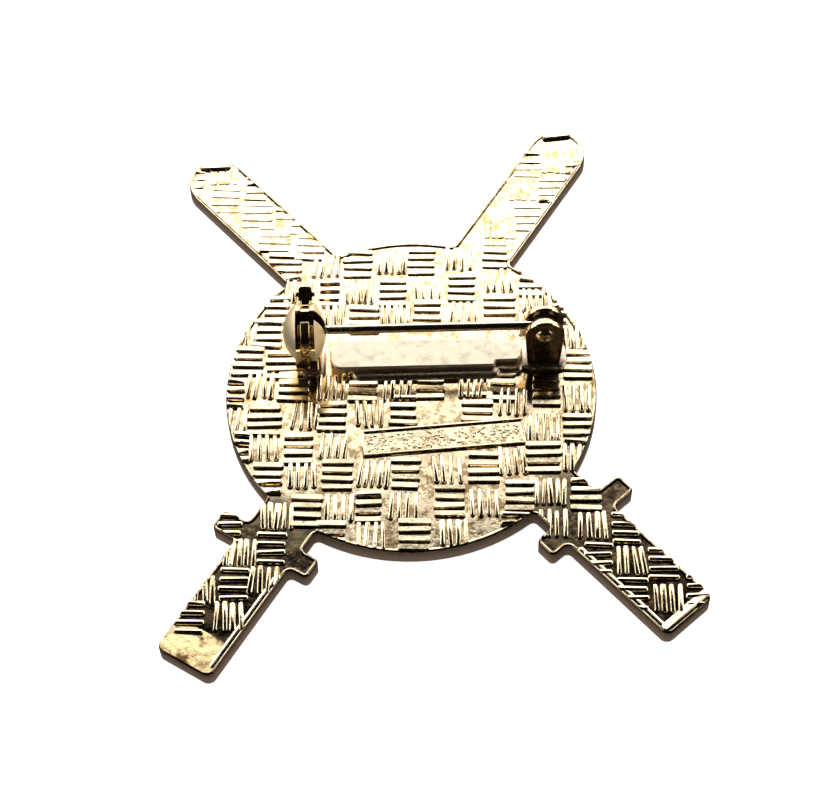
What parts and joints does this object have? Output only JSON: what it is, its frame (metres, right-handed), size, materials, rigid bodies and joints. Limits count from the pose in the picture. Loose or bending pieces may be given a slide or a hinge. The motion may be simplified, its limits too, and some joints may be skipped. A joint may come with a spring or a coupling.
{
  "type": "cap badge",
  "caption": "Cast cap badge: a round disc over two crossed swords, with a soldered locking bar pin, hinged at one end and held by a rotating ball catch.",
  "frame": {"origin": "centre of the disc, in the plane of the raised front that the badge rests on", "axes": "+Z out of the back, where the bar pin is; +Y up the badge, towards the blade tips; +X to the right as seen from the back, towards the pin's joint"},
  "size_m": [0.0558, 0.0662, 0.0112],
  "materials": {
    "plate": "pale gold plating on a die casting, polished ridges over a darker ground",
    "solder": "dull grey-gold solder, plated over",
    "strip": "pale gold plating, smooth satin",
    "fittings": "gold plating, polished",
    "rivet": "gold plating, rolled over",
    "wire": "gold-washed drawn wire"
  },
  "bodies": {
    "badge": {"badge_plate": "plate", "solder_joints": "solder", "pin_bar": "strip", "joint_bracket": "fittings", "joint_rivet": "rivet", "catch_housing": "fittings"},
    "pin": {"pin_stem": "wire"},
    "lock": {"catch_rotor": "fittings"}
  },
  "joints": [
    {"name": "pin_hinge", "type": "hinge", "parent": "badge", "child": "pin", "pos_m": [0.01466, 0.00275, 0.0079], "axis": [0.0767, 0.9971, 0], "range_deg": [0, 105]},
    {"name": "lock_turn", "type": "hinge", "parent": "badge", "child": "lock", "pos_m": [-0.01066, 0.0047, 0.0079], "axis": [0.9971, -0.0767, 0], "range_deg": [0, 90]}
  ]
}
